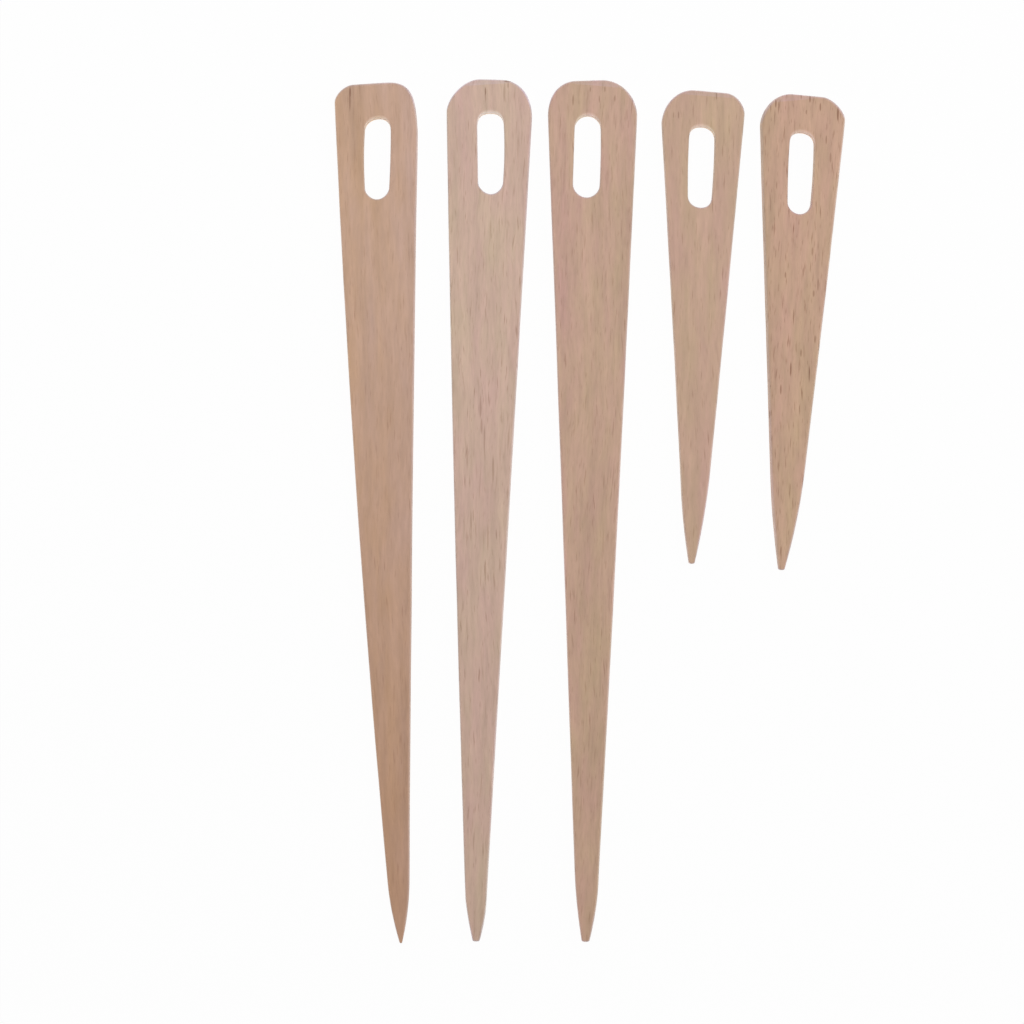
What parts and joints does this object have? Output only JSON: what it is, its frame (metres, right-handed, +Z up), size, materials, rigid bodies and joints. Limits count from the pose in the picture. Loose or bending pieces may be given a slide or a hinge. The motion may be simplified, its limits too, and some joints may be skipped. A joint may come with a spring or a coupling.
{
  "type": "weaving needle set",
  "caption": "Flat tapered beech weaving needles in two lengths, laid side by side, each with a slotted eye for yarn, a rounded head and a sanded point.",
  "frame": {"origin": "middle of the row's bounding box, on the plane that the needles lie on", "axes": "+X across the row towards the short needles, +Y along the needles from the tips to the heads, +Z up"},
  "size_m": [0.154, 0.2606, 0.003],
  "materials": {
    "beech_tan": "matte",
    "beech_pale": "matte",
    "beech_flecked": "matte",
    "beech_rosy": "matte",
    "beech_warm": "matte"
  },
  "bodies": {
    "long_needle_left": {"long_needle_left": "beech_tan"},
    "long_needle_middle": {"long_needle_middle": "beech_pale"},
    "long_needle_right": {"long_needle_right": "beech_flecked"},
    "short_needle_left": {"short_needle_left": "beech_rosy"},
    "short_needle_right": {"short_needle_right": "beech_warm"}
  },
  "joints": [
    {"name": "long_middle_lift", "type": "slide", "parent": "long_needle_left", "child": "long_needle_middle", "axis": [0, 0, 1], "range_m": [0, 0.06]},
    {"name": "long_right_lift", "type": "slide", "parent": "long_needle_left", "child": "long_needle_right", "axis": [0, 0, 1], "range_m": [0, 0.06]},
    {"name": "short_left_lift", "type": "slide", "parent": "long_needle_left", "child": "short_needle_left", "axis": [0, 0, 1], "range_m": [0, 0.06]},
    {"name": "short_right_lift", "type": "slide", "parent": "long_needle_left", "child": "short_needle_right", "axis": [0, 0, 1], "range_m": [0, 0.06]}
  ]
}
